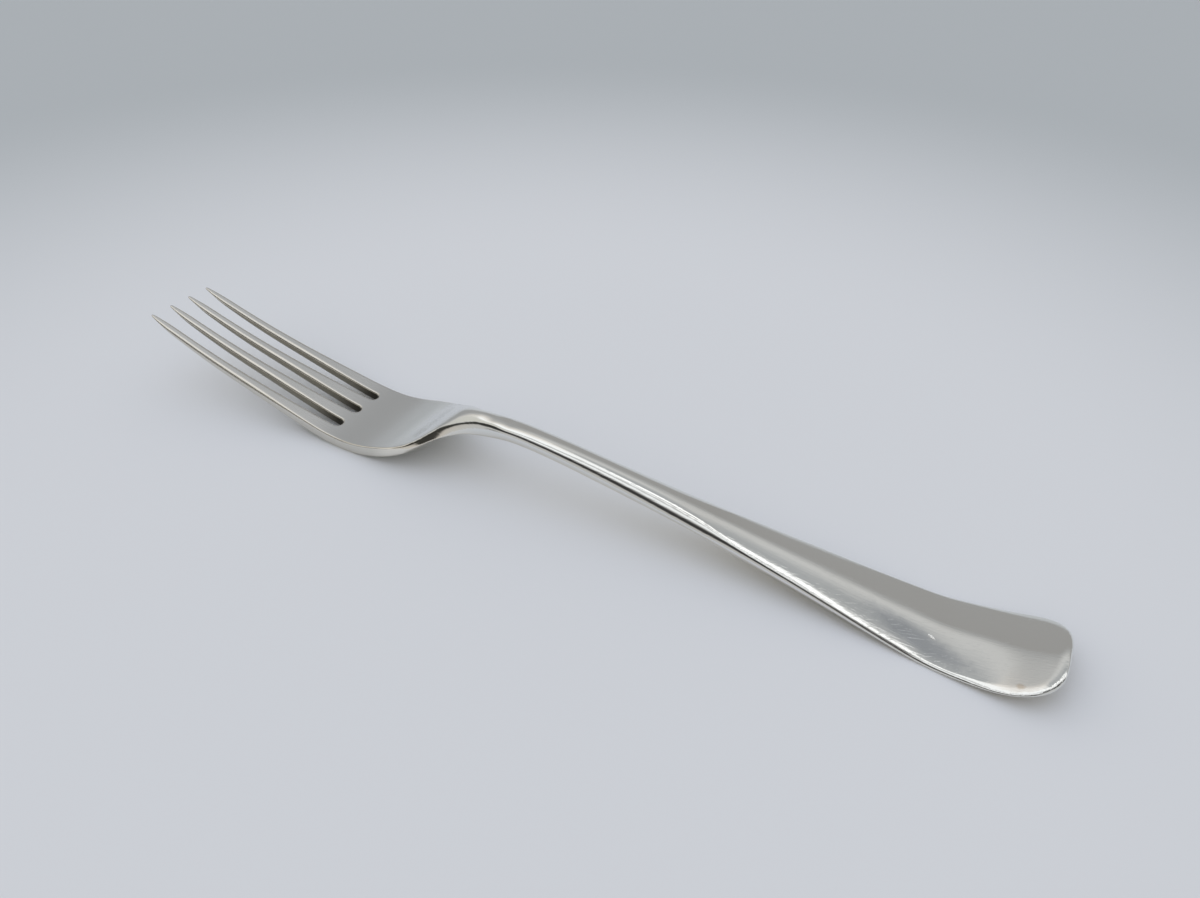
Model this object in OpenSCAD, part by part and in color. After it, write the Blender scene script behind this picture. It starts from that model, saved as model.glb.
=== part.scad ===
// Table fork with four tines, a plain bowl, an arched neck and a ridged handle with a turned-up end.
// It lies on its back: x runs from the tine tips to the handle end, y across, z up from the table.
// The sections of the one forging meet face to face on shared sections, with no seam on the outside.

/* [Tines] */
// Length of a tine, from its tip to the centre of the slot's round root
tine_length = 52.5; // [46:0.5:60]
// Width of each tine where it leaves the bowl
tine_root_width = 3.6; // [3:0.1:4.2]
// Width of each tine where its point begins
tine_tip_width = 2; // [1.5:0.1:2.4]
// Thickness of each tine where it leaves the bowl
tine_root_thickness = 2.45; // [2:0.05:2.8]
// Thickness of each tine where its point begins
tine_tip_thickness = 1.4; // [1:0.05:1.8]
// Length over which a tine's round edges turn into the bowl's square ones
tine_blend = 25; // [18:1:32]
// Length of the tapered point
point_length = 8; // [5:0.5:11]
// Width left at the blunt end of the point
tip_blunt = 0.6; // [0.4:0.05:0.9]
// Distance between the middles of neighbouring tips
tip_pitch = 5.4; // [5:0.1:6]
// Width of the slots between the tines, at their round roots
slot_width = 2.4; // [1.8:0.1:3]
// Height of the underside at the tips
tip_rise = 15.8; // [11:0.1:19]

/* [Bowl] */
// Length of the bowl, from the centres of the slot roots to the neck
bowl_length = 31.5; // [28:0.5:36]
// Thickness of the bowl at its flat edge
bowl_thickness = 2.5; // [2:0.05:3]
// Height of the crowned front, over its edge, where the shoulder runs up to the neck
shoulder_crown = 0.9; // [0.5:0.05:1.2]

/* [Neck] */
// Length of the arched neck
neck_length = 20; // [17:0.5:25]
// Width of the neck at its narrowest
neck_width = 5.4; // [4.6:0.1:6.6]
// Thickness of the neck at the top of its arch
neck_thickness = 3.5; // [2.8:0.1:4.2]
// Height of the underside at the top of the arch
neck_rise = 10.2; // [8:0.1:13]

/* [Stem] */
// Length of the widening stem
stem_length = 64; // [54:1:76]
// Width of the stem at its middle
stem_width = 8.2; // [7:0.1:10]
// Thickness of the stem's edge at its middle
stem_thickness = 2.6; // [2.1:0.1:3.1]

/* [Handle end] */
// Length of the handle end, from the stem to the tip of its round end
handle_end_length = 37; // [32:0.5:44]
// Width of the handle where the stem runs into it
handle_width = 14.2; // [12:0.1:16]
// Width of the handle end at its widest
end_width = 20.4; // [17:0.1:23]
// Thickness of the handle end's rim
end_thickness = 0.8; // [0.7:0.05:1.2]
// Length of the round end of the outline
end_round = 12; // [9:0.5:15]
// Height of the ridge along the front, over the rim, where it stands highest
ridge_height = 1.4; // [0.8:0.05:1.8]
// Height of the underside at the turned-up tip
end_rise = 4; // [2:0.1:6]

/* [Resting flats] */
// Depth worn off the back of the bowl and of the handle where they touch the table
rest_wear = 0.12; // [0.06:0.01:0.16]

/* [Hidden] */
tine_count = 4;
silver = [0.75, 0.76, 0.77];

// Places along the fork, with the middle of its length at zero
overall_length = tine_length + bowl_length + neck_length + stem_length + handle_end_length;
x_tip = -overall_length / 2;
x_root = x_tip + tine_length;
x_neck = x_root + bowl_length;
x_stem = x_neck + neck_length;
x_handle = x_stem + stem_length;
x_end = x_handle + handle_end_length;

// The tines and the slots between them make up the width of the head
root_pitch = tine_root_width + slot_width;
head_width = tine_count * tine_root_width + (tine_count - 1) * slot_width;

// Number of length steps in each section's loft, how fast a tine's steps grow, and sides of a slot's root
tine_steps = 18;
bowl_steps = 24;
neck_steps = 12;
stem_steps = 18;
handle_steps = 11;
tine_step_growth = 1.3;
slot_sides = 32;
// Angles round the outline of the handle's round end, and of a section's rounded edge
end_angles = [8, 20, 32, 43, 53, 62, 70, 76, 81];
edge_angles = [90, 70, 50, 30, 0];
tine_edge_angles = [90, 60, 30, 0];
// The end's outline is squarer than an ellipse, and its rim closes to a narrow land at this angle
end_square = 3.4;
rim_land_angle = 15;

// Back line: places as shares of a section's length, heights as shares of the rise that they follow
tine_back_shares = [[0, 1], [0.28, 0.64], [0.57, 0.36], [0.86, 0.12]];
bowl_back_shares = [[0.3, 0.015], [0.5, 0.16], [0.68, 0.388], [0.84, 0.685], [1, 0.925]];
neck_back_shares = [[0.3, 1], [0.55, 1.005], [1, 0.952]];
stem_back_shares = [[0.22, 0.785], [0.44, 0.62], [0.66, 0.475], [0.88, 0.3]];
handle_back_shares = [[0.11, 0.132], [0.28, 0.044]];
end_back_shares = [[0.6, 0.06], [0.76, 0.28], [0.88, 0.62], [1, 1]];
bowl_rest_share = 0.18;
handle_rest_share = 0.44;

// Outline of the shoulder: shares of the bowl's length, and of the step in half width from neck to bowl
shoulder_shares = [[0, 1], [0.2, 1.01], [0.42, 1], [0.55, 0.965], [0.68, 0.865], [0.84, 0.52], [1, 0.09]];
// Outline of the neck and of the handle end: shares of their lengths, and of their own widths
neck_width_shares = [[0.2, 1.02], [0.5, 1], [1, 1.04]];
end_width_shares = [[0.6, 0.955], [0.8, 1], [1, 1]];

// The bowl's edge thins towards the shoulder: shares of the bowl's length, and of its thickness
bowl_thin_shares = [[0.667, 0.86], [0.84, 0.82]];
// The stem's edge thins towards the handle: shares of its length, and of the step in thickness that is left
stem_thin_shares = [[0.66, 0.52], [0.82, 0.28], [1, 0.12]];

// Rounding of the edge: places as shares of a section's length, rounding as a share of the half width
edge_round_share = 0.06;
end_round_share = 0.13;
bowl_round_shares = [[0, edge_round_share], [0.5, edge_round_share], [0.65, 0.07], [0.72, 0.085],
    [0.79, 0.095], [0.84, 0.12], [0.92, 0.3], [1, 0.66]];
neck_round_shares = [[0.25, 0.92], [1, 0.95]];
stem_round_shares = [[0.4, 0.85], [0.53, 0.6], [0.66, 0.22], [0.8, 0.125], [1, 0.085]];
handle_round_shares = [[0.5, 0.085], [1, end_round_share]];
tine_round_share = 0.5;

// Power of that rounding, from a bevel near 1 over an ellipse at 2 to a square edge: places as shares
edge_square = 4;
round_square = 2.2;
tine_square = 2.4;
bowl_square_shares = [[0, edge_square], [0.5, edge_square], [0.63, 2.6], [0.7, 1.3],
    [0.78, 1.15], [0.86, 1.2], [0.93, 1.7], [1, 2.1]];
neck_square_shares = [[0.3, 2.4], [1, round_square]];

// Places across the flat part of a section, as shares of its half width
inner_shares = [0, 0.35, 0.7];
tine_inner_shares = [0];

// Front: shares of the shoulder's crown and of the ridge, and of the half width that the crest is soft over
crown_shares = [[0, 0], [0.55, 0], [0.84, 1], [1, 0.8]];
crown_end_share = 0.4;
stem_ridge_shares = [[0, 0.07], [0.22, 0.24], [0.5, 0.46], [0.66, 0.66], [0.88, 0.72]];
handle_ridge_shares = [[0.11, 0.74], [0.28, 0.82], [0.54, 1], [0.76, 0.98], [0.88, 0.92], [1, 0.8]];
crest_soft_share = 0.18;
// Share of the front's height that its bow takes from its straight sides, and the power of that bow
stem_bow_share = 0.55;
stem_bow_end_share = 0.8;
handle_bow_shares = [[0.3, 0.3], [0.54, 0.2], [1, 0.2]];
bow_power = 3;

// Curve tables of the whole fork: place, value
back_line = concat(
    [for (s = tine_back_shares) [x_tip + s[0] * tine_length, s[1] * tip_rise]],
    [[x_root + bowl_rest_share * bowl_length, -rest_wear]],
    [for (s = bowl_back_shares) [x_root + s[0] * bowl_length, s[1] * neck_rise]],
    [for (s = neck_back_shares) [x_neck + s[0] * neck_length, s[1] * neck_rise]],
    [for (s = stem_back_shares) [x_stem + s[0] * stem_length, s[1] * neck_rise]],
    [for (s = handle_back_shares) [x_handle + s[0] * handle_end_length, s[1] * neck_rise]],
    [[x_handle + handle_rest_share * handle_end_length, -rest_wear]],
    [for (s = end_back_shares) [x_handle + s[0] * handle_end_length, s[1] * end_rise]]
);
half_width_line = concat(
    [for (s = shoulder_shares) [x_root + s[0] * bowl_length,
        neck_width / 2 + s[1] * (head_width - neck_width) / 2]],
    [for (s = neck_width_shares) [x_neck + s[0] * neck_length, s[1] * neck_width / 2]],
    [[x_stem + stem_length / 2, stem_width / 2], [x_handle, handle_width / 2]],
    [for (s = end_width_shares) [x_handle + s[0] * handle_end_length, s[1] * end_width / 2]]
);
thickness_line = concat(
    [
        [x_tip, tine_tip_thickness / 2],
        [x_tip + point_length, tine_tip_thickness],
        [(x_tip + x_root) / 2, (tine_tip_thickness + 2 * tine_root_thickness) / 3],
        [x_root, tine_root_thickness],
        [x_root + bowl_rest_share * bowl_length, bowl_thickness],
        [x_root + bowl_length / 2, (bowl_thickness + tine_root_thickness) / 2]
    ],
    [for (s = bowl_thin_shares) [x_root + s[0] * bowl_length, s[1] * bowl_thickness]],
    [
        [x_neck, (bowl_thickness + neck_thickness) / 2],
        [x_neck + neck_length / 2, neck_thickness],
        [x_stem, neck_thickness],
        [x_stem + stem_length / 2, stem_thickness]
    ],
    [for (s = stem_thin_shares) [x_stem + s[0] * stem_length,
        end_thickness + s[1] * (stem_thickness - end_thickness)]],
    [[x_handle + handle_end_length / 2, end_thickness], [x_end, end_thickness]]
);
round_line = concat(
    [for (s = bowl_round_shares) [x_root + s[0] * bowl_length, s[1]]],
    [for (s = neck_round_shares) [x_neck + s[0] * neck_length, s[1]]],
    [for (s = stem_round_shares) [x_stem + s[0] * stem_length, s[1]]],
    [for (s = handle_round_shares) [x_handle + s[0] * handle_end_length, s[1]]]
);
square_line = concat(
    [for (s = bowl_square_shares) [x_root + s[0] * bowl_length, s[1]]],
    [for (s = neck_square_shares) [x_neck + s[0] * neck_length, s[1]]],
    [[x_end, round_square]]
);
front_line = concat(
    [for (s = crown_shares) [x_root + s[0] * bowl_length, s[1] * shoulder_crown]],
    [[x_neck + crown_end_share * neck_length, 0]],
    [for (s = stem_ridge_shares) [x_stem + s[0] * stem_length, s[1] * ridge_height]],
    [for (s = handle_ridge_shares) [x_handle + s[0] * handle_end_length, s[1] * ridge_height]]
);
bow_line = concat(
    [[x_root, 1], [x_neck, 1], [x_stem, stem_bow_share]],
    [[x_stem + stem_bow_end_share * stem_length, stem_bow_share]],
    [for (s = handle_bow_shares) [x_handle + s[0] * handle_end_length, s[1]]]
);

// Smooth curve through a table: cubic pieces whose slopes lean on both neighbours and never overshoot
function span(t, k) = t[k + 1][0] - t[k][0];
function rise_rate(t, k) = (t[k + 1][1] - t[k][1]) / span(t, k);
function mean_rate(t, k) =
    (span(t, k) * rise_rate(t, k - 1) + span(t, k - 1) * rise_rate(t, k)) / (span(t, k - 1) + span(t, k));
function slope(t, k) =
    k == 0 ? rise_rate(t, 0) :
    k == len(t) - 1 ? rise_rate(t, k - 1) :
    (sign(rise_rate(t, k - 1)) + sign(rise_rate(t, k)))
    * min(abs(rise_rate(t, k - 1)), abs(rise_rate(t, k)), abs(mean_rate(t, k)) / 2);
function piece_at(t, x) = max([0, for (k = [0 : len(t) - 2]) if (x >= t[k][0]) k]);
function curve(t, x) =
    let (k = piece_at(t, x), h = span(t, k), u = (x - t[k][0]) / h)
    t[k][1] * (1 + 2 * u) * pow(1 - u, 2) + slope(t, k) * h * u * pow(1 - u, 2)
    + t[k + 1][1] * u * u * (3 - 2 * u) - slope(t, k + 1) * h * u * u * (1 - u);

// Half of a section, from its middle to its edge: distance across, and share of the full thickness there
function half_section(half, depth, square, inner, angles) = concat(
    [for (u = inner) [u * (half - depth), 1]],
    [for (a = angles) [half - depth + depth * pow(cos(a), 2 / square), pow(sin(a), 2 / square)]]
);
// Whole section, from its left edge to its right edge
function whole_section(side) = concat(
    [for (k = [len(side) - 1 : -1 : 1]) [-side[k][0], side[k][1]]],
    side
);
// Height of the ridged or bowed front at a share of the half width, from 1 on the crest to 0 at the edge
function roof(u, bow) =
    let (
        reach = sqrt(1 + pow(crest_soft_share, 2)) - crest_soft_share,
        facet = (sqrt(u * u + pow(crest_soft_share, 2)) - crest_soft_share) / reach
    )
    1 - (1 - bow) * facet - bow * pow(u, bow_power);
// Closed ring from a section's row and the height of its front over the middle at each place across:
// the front from the left edge to the right, then the back from right to left
function ring(x, centre, row, middle, fronts, thick) =
    let (last = len(row) - 1)
    concat(
        [for (k = [0 : last]) [x, centre + row[k][0], middle + fronts[k] * row[k][1]]],
        [for (k = [last - 1 : -1 : 1]) [x, centre + row[k][0], middle - thick / 2 * row[k][1]]]
    );

// Place in a ring of the back point that lies under a front point
function under(i, front) = i == 0 || i == front - 1 ? i : 2 * front - 2 - i;
// Flat face over one ring, in strips between its front and its back
function end_face(start, front) = [
    for (i = [0 : front - 2]) each [
        if (i < front - 2) [start + i, start + i + 1, start + under(i + 1, front)],
        if (i > 0) [start + i, start + under(i + 1, front), start + under(i, front)]
    ]
];
function turned(faces) = [for (f = faces) [f[2], f[1], f[0]]];

// Solid skin over a row of rings, closed with a flat face at both ends
module loft(rings) {
    count = len(rings[0]);
    front = count / 2 + 1;
    last = len(rings) - 1;
    sides = [for (k = [0 : last - 1]) for (j = [0 : count - 1])
        let (n = (j + 1) % count)
        each [
            [k * count + j, k * count + n, (k + 1) * count + n],
            [k * count + j, (k + 1) * count + n, (k + 1) * count + j]
        ]];
    polyhedron(
        points = [for (r = rings) each r],
        faces = concat(sides, turned(end_face(0, front)), end_face(last * count, front)),
        convexity = 6
    );
}

// Section of the bowl, neck, stem and handle at a place, drawn in and thinned by shares at the round end
function shank_ring(x, width_share = 1, thick_share = 1) =
    let (
        whole = curve(half_width_line, x),
        half = whole * width_share,
        full = curve(thickness_line, x),
        thick = full * thick_share,
        crest = curve(front_line, x) * thick_share,
        bow = curve(bow_line, x),
        row = whole_section(half_section(half, half * curve(round_line, x), curve(square_line, x),
            inner_shares, edge_angles))
    )
    ring(x, 0, row, curve(back_line, x) + full / 2,
        [for (p = row) thick / 2 + crest * roof(abs(p[0]) / whole, bow)], thick);
function shank_rings(from, to, steps) = [for (k = [0 : steps]) shank_ring(from + (to - from) * k / steps)];

// Section of one tine: the front keeps the bowl's line, and the back rises to meet it along the point
function tine_ring(row, x) =
    let (
        along = (x - x_tip) / tine_length,
        point = max(0, 1 - (x - x_tip) / point_length),
        body = tine_tip_width + (tine_root_width - tine_tip_width)
            * max(0, x - x_tip - point_length) / (tine_length - point_length),
        width = tip_blunt + (body - tip_blunt) * (1 - pow(point, 2)),
        full = curve(thickness_line, x),
        thick = full * (1 - point * point / 2),
        pitch = tip_pitch + (root_pitch - tip_pitch) * along,
        turn = min(1, (x_root - x) / tine_blend),
        blend = turn * turn * (3 - 2 * turn),
        depth = width / 2 * tine_round_share * blend + head_width / 2 * edge_round_share * (1 - blend),
        square = edge_square + (tine_square - edge_square) * blend,
        across = whole_section(half_section(width / 2, depth, square, tine_inner_shares, tine_edge_angles))
    )
    ring(x, (row - (tine_count - 1) / 2) * pitch, across, curve(back_line, x) + full - thick / 2,
        [for (p = across) thick / 2], thick);
module tine(row) {
    steps = [for (k = [0 : tine_steps]) pow(k / tine_steps, tine_step_growth)];
    color(silver)
    loft([for (s = steps) tine_ring(row, x_tip + tine_length * s)]);
}
module tine_1() { tine(0); }
module tine_2() { tine(1); }
module tine_3() { tine(2); }
module tine_4() { tine(3); }

// Takes off what would lie below the table, which leaves a flat to rest on
module on_table() {
    difference() {
        children();
        translate([-overall_length / 2, -head_width, -head_width])
            cube([overall_length, 2 * head_width, head_width]);
    }
}

module bowl() {
    color(silver)
    difference() {
        on_table() loft(shank_rings(x_root, x_neck, bowl_steps));
        for (k = [1 : tine_count - 1])
            translate([x_root, (k - tine_count / 2) * root_pitch, -head_width])
                cylinder(d = slot_width, h = 2 * head_width, $fn = slot_sides);
    }
}

module neck() {
    color(silver)
    loft(shank_rings(x_neck, x_stem, neck_steps));
}

module stem() {
    color(silver)
    loft(shank_rings(x_stem, x_handle, stem_steps));
}

module handle_end() {
    x_round = x_end - end_round;
    reach = pow(sin(end_angles[len(end_angles) - 1]), 2 / end_square);
    rim = end_width / 2 * end_round_share;
    color(silver)
    on_table() loft(concat(
        shank_rings(x_handle, x_round, handle_steps),
        [for (a = end_angles)
            let (
                x = x_round + end_round * pow(sin(a), 2 / end_square) / reach,
                over = max(0, x - x_end + rim) / rim
            )
            shank_ring(x, pow(cos(a), 2 / end_square), sqrt(1 - pow(over * cos(rim_land_angle), 2)))]
    ));
}

tine_1();
tine_2();
tine_3();
tine_4();
bowl();
neck();
stem();
handle_end();
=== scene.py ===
import math
from collections import namedtuple

import bpy
import numpy as np
from mathutils import Matrix, Vector
from mathutils.geometry import delaunay_2d_cdt


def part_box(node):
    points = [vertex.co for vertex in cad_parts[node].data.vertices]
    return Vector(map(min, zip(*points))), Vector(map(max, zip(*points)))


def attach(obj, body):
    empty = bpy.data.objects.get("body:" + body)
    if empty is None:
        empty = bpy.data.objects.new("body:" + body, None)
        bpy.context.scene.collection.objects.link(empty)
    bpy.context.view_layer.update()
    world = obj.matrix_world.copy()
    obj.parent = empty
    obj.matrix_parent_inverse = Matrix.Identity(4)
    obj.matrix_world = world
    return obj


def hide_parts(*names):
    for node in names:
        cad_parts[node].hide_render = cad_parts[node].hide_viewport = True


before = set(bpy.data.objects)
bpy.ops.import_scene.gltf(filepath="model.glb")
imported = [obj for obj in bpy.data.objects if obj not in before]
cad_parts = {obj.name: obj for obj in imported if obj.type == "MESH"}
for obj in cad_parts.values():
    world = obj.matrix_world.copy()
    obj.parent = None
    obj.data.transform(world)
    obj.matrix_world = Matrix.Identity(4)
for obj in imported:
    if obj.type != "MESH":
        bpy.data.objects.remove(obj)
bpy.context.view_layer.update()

# Sizes, in millimetres. Places along the fork come from the frame.
MM = 0.001
TINES = ("tine_1", "tine_2", "tine_3", "tine_4")


def frame_box(node):
    """Lowest and highest corner of a node of the frame, in millimetres."""
    low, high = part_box(node)
    return np.array(low) / MM, np.array(high) / MM


x_tip = frame_box("tine_1")[0][0]
x_root = frame_box("bowl")[0][0]
x_neck = frame_box("neck")[0][0]
x_stem = frame_box("stem")[0][0]
x_handle, x_end = (corner[0] for corner in frame_box("handle_end"))
tine_length = x_root - x_tip
bowl_length = x_neck - x_root
neck_length = x_stem - x_neck
stem_length = x_handle - x_stem
handle_length = x_end - x_handle

tine_root_width = 3.6
tine_tip_width = 2.0
tine_root_thickness = 2.45
tine_tip_thickness = 1.4
point_length = 8.0
tip_blunt = 0.6
tip_nose = 0.45
tip_pitch = 5.4
slot_width = 2.4
tip_rise = 15.8
bowl_thickness = 2.5
neck_width = 5.4
neck_thickness = 3.5
neck_rise = 10.2
stem_width = 8.2
stem_thickness = 2.6
handle_width = 14.2
end_width = 20.4
end_thickness = 0.8
end_round = 12.0
end_square = 3.4
end_rise = 4.0
ridge_height = 1.4
shoulder_crown = 0.9
rest_wear = 0.12
root_pitch = tine_root_width + slot_width
head_width = len(TINES) * tine_root_width + (len(TINES) - 1) * slot_width

# Rows of the tines and of the slots between them, in pitches from the middle
TINE_ROWS = [k - (len(TINES) - 1) / 2 for k in range(len(TINES))]
SLOT_ROWS = [k - len(TINES) / 2 for k in range(1, len(TINES))]

# Shares of the half width that a section's rounded edge takes, and that soften the crest of the ridge
BOWL_ROUND = 0.06
TINE_ROUND = 0.75
CREST_SOFT = 0.18

# Squareness of the rounded edges: 2 is a circle, more is squarer and less is a bevel
BOWL_SQUARE = 4.0
TINE_SQUARE = 2.4
SHANK_SQUARE = 2.2

# Lengths over which a tine's round edges turn into the bowl's square ones, and the bowl's crown turns
# into the neck's
TINE_BLEND = 25.0
CROWN_BLEND = 5.0

# Power of the bow in the ridge's sides
BOW_POWER = 3

# Steps across a section, from its middle to where the edge rounds over, and then round that edge
FLAT_STEPS = 8
EDGE_STEPS = 12

# Points round a slot's root and a corner of the handle's end, and the turns of a tine's nose in degrees
ROOT_POINTS = 15
CORNER_POINTS = 61
NOSE_TURNS = np.arange(10, 90, 10)

# Steps along the fork, and between the points that fill a plate
LENGTH_STEP = 0.4
FILL_STEP = 0.35


# Curves along the fork

SECTIONS = {"tines": (x_tip, tine_length), "bowl": (x_root, bowl_length), "neck": (x_neck, neck_length),
            "stem": (x_stem, stem_length), "handle": (x_handle, handle_length)}


def spread(section, scale, shares):
    """Stations from shares of a section's length and of the size that they follow."""
    start, length = SECTIONS[section]
    return [(start + place * length, value * scale) for place, value in shares]


def even_steps(start, stop):
    """Places from start to stop, about one length step apart."""
    return np.linspace(start, stop, round((stop - start) / LENGTH_STEP) + 1)


def eased(share):
    """Share kept from 0 to 1, with a soft start and stop."""
    share = np.clip(share, 0, 1)
    return share * share * (3 - 2 * share)


def smooth_line(stations):
    """Curve with an even bend through (place, value) stations, as a function of the place."""
    places, values = np.array(stations).T
    gaps = np.diff(places)
    rates = np.diff(values) / gaps
    matrix = np.eye(len(places))
    change = np.zeros(len(places))
    for k in range(1, len(places) - 1):
        matrix[k, k - 1:k + 2] = gaps[k - 1], 2 * (gaps[k - 1] + gaps[k]), gaps[k]
        change[k] = 6 * (rates[k] - rates[k - 1])
    bend = np.linalg.solve(matrix, change)

    def value_at(x):
        k = np.clip(np.searchsorted(places, x) - 1, 0, len(gaps) - 1)
        before, after, gap = x - places[k], places[k + 1] - x, gaps[k]
        bent = (bend[k] * after ** 3 + bend[k + 1] * before ** 3) / (6 * gap)
        return (bent + (values[k] / gap - bend[k] * gap / 6) * after
                + (values[k + 1] / gap - bend[k + 1] * gap / 6) * before)

    return value_at


def steady_line(stations):
    """Curve through (place, value) stations that never passes beyond its neighbours."""
    places, values = np.array(stations).T
    gaps = np.diff(places)
    rates = np.diff(values) / gaps
    slopes = np.zeros(len(places))
    slopes[0], slopes[-1] = rates[0], rates[-1]
    for k in range(1, len(places) - 1):
        if rates[k - 1] * rates[k] > 0:
            mean = (gaps[k] * rates[k - 1] + gaps[k - 1] * rates[k]) / (gaps[k - 1] + gaps[k])
            slopes[k] = np.sign(mean) * min(2 * abs(rates[k - 1]), 2 * abs(rates[k]), abs(mean))

    def value_at(x):
        k = np.clip(np.searchsorted(places, x) - 1, 0, len(gaps) - 1)
        u = (x - places[k]) / gaps[k]
        return (values[k] * (1 + 2 * u) * (1 - u) ** 2 + slopes[k] * gaps[k] * u * (1 - u) ** 2
                + values[k + 1] * u * u * (3 - 2 * u) - slopes[k + 1] * gaps[k] * u * u * (1 - u))

    return value_at


# Height of the back above the table, which it touches at two worn places
back_at = smooth_line(
    spread("tines", tip_rise, [(0, 1), (0.28, 0.64), (0.57, 0.36), (0.86, 0.12)])
    + spread("bowl", -rest_wear, [(0.18, 1)])
    + spread("bowl", neck_rise, [(0.3, 0.015), (0.5, 0.16), (0.68, 0.388), (0.84, 0.685), (1, 0.925)])
    + spread("neck", neck_rise, [(0.3, 1), (0.55, 1.005), (1, 0.952)])
    + spread("stem", neck_rise, [(0.22, 0.785), (0.44, 0.62), (0.66, 0.475), (0.88, 0.3)])
    + spread("handle", neck_rise, [(0.11, 0.132), (0.28, 0.044)])
    + spread("handle", -rest_wear, [(0.44, 1)])
    + spread("handle", end_rise, [(0.6, 0.06), (0.76, 0.28), (0.88, 0.62), (1, 1)]))

# Half width of the bowl, as shares from the neck's to the head's, and of the shank
shoulder_shares = [(0, 1), (0.2, 1.01), (0.42, 1), (0.55, 0.965), (0.68, 0.87), (0.84, 0.6), (1, 0.24)]
half_width_at = smooth_line(
    [(place, neck_width / 2 + beyond)
     for place, beyond in spread("bowl", (head_width - neck_width) / 2, shoulder_shares)]
    + spread("neck", neck_width / 2, [(0.2, 1.2), (0.5, 1.02), (1, 1.04)])
    + spread("stem", stem_width / 2, [(0.5, 1)])
    + spread("handle", handle_width / 2, [(0, 1)])
    + spread("handle", end_width / 2, [(0.6, 0.955), (0.8, 1), (1, 1)]))

# Thickness without the ridge. The stem's last part thins from the stem's thickness to the end's.
thinning_shares = [(0.66, 0.52), (0.82, 0.28), (1, 0.12)]
thickness_at = smooth_line(
    [(x_tip, tine_tip_thickness / 2),
     (x_tip + point_length, tine_tip_thickness),
     ((x_tip + x_root) / 2, (tine_tip_thickness + 2 * tine_root_thickness) / 3),
     (x_root, tine_root_thickness)]
    + spread("bowl", bowl_thickness, [(0.18, 1)])
    + spread("bowl", (bowl_thickness + tine_root_thickness) / 2, [(0.5, 1)])
    + spread("bowl", bowl_thickness, [(2 / 3, 0.86), (0.84, 0.77), (1, 0.68)])
    + spread("neck", neck_thickness, [(0.2, 0.58), (0.5, 0.93), (0.72, 1), (1, 1)])
    + spread("stem", stem_thickness, [(0.5, 1)])
    + [(place, end_thickness + beyond)
       for place, beyond in spread("stem", stem_thickness - end_thickness, thinning_shares)]
    + spread("handle", end_thickness, [(0.5, 1), (1, 1)]))

# Share of the half width that the edge rounds over, and how square that rounding is
round_at = steady_line(
    spread("bowl", 1, [(0, BOWL_ROUND), (0.5, BOWL_ROUND), (0.64, 0.075), (0.71, 0.09), (0.77, 0.12),
                       (0.83, 0.19), (0.89, 0.25), (0.95, 0.28), (1, 0.28)])
    + spread("neck", 1, [(0.15, 0.3), (0.3, 0.43), (0.6, 0.88), (1, 0.95)])
    + spread("stem", 1, [(0.4, 0.85), (0.53, 0.6), (0.66, 0.22), (0.8, 0.125), (1, 0.085)])
    + spread("handle", 1, [(0.5, 0.085), (0.65, 0.12), (0.8, 0.17), (1, 0.2)]))
square_at = steady_line(
    spread("bowl", 1, [(0, BOWL_SQUARE), (0.5, BOWL_SQUARE), (0.66, 2.8), (0.73, 1.3), (0.8, 1.15),
                       (0.89, 1.18), (0.95, 1.65), (1, 2.4)])
    + spread("neck", 1, [(0.3, 2.8), (0.7, 2.3)])
    + [(x_stem, SHANK_SQUARE), (x_end, SHANK_SQUARE)])

# Height of the ridge on the front, and the share of its sides that is bowed and not a flat facet
ridge_at = steady_line(
    spread("bowl", shoulder_crown, [(0, 0), (0.55, 0), (0.84, 1.1), (1, 2.15)])
    + spread("neck", shoulder_crown, [(0.2, 1.85), (0.4, 0.75), (0.6, 0.05)])
    + spread("stem", ridge_height, [(0, 0.07), (0.22, 0.24), (0.5, 0.46), (0.66, 0.66), (0.88, 0.72)])
    + spread("handle", ridge_height,
             [(0.11, 0.74), (0.28, 0.82), (0.54, 1), (0.76, 0.98), (0.88, 0.92), (1, 0.8)]))
bow_at = steady_line(
    [(x_root, 1), (x_neck - CROWN_BLEND, 1), (x_neck, 0.55)]
    + spread("stem", 1, [(0, 0.55), (0.8, 0.55)])
    + spread("handle", 1, [(0.3, 0.3), (0.54, 0.2), (1, 0.2)]))

# Share of the thickness that lies under the widest place, and how far the edges droop below the middle
waist_at = steady_line(
    spread("bowl", 1, [(0, 0.5), (0.62, 0.5), (0.72, 0.47), (0.84, 0.5), (0.93, 0.4), (1, 0.3)])
    + spread("neck", 1, [(0.25, 0.36), (0.6, 0.48), (1, 0.5)])
    + [(x_end, 0.5)])
sag_at = steady_line(
    spread("bowl", 1, [(0, 0), (0.6, 0), (0.72, 0.3), (0.85, 0.5), (1, 0.4)])
    + spread("neck", 1, [(0.3, 0.28), (0.75, 0)])
    + [(x_end, 0)])


def roof(share, bow):
    """Height of the ridged front at a share of the half width, from 1 on the crest to 0 at the rim."""
    reach = math.hypot(1, CREST_SOFT) - CREST_SOFT
    facet = (np.hypot(share, CREST_SOFT) - CREST_SOFT) / reach
    return 1 - (1 - bow) * facet - bow * share ** BOW_POWER


def tine_width(from_tip):
    """Width of a tine at a distance from its tip, if it had no point."""
    taper = np.clip(from_tip - point_length, 0, None) / (tine_length - point_length)
    return tine_tip_width + (tine_root_width - tine_tip_width) * taper


def tine_pitch(from_tip):
    """Distance between the middles of two tines, at a distance from their tips."""
    return tip_pitch + (root_pitch - tip_pitch) * from_tip / tine_length


# Objects and meshes

def add_object(name, data):
    """New object in the scene."""
    made = bpy.data.objects.new(name, data)
    bpy.context.scene.collection.objects.link(made)
    return made


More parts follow.
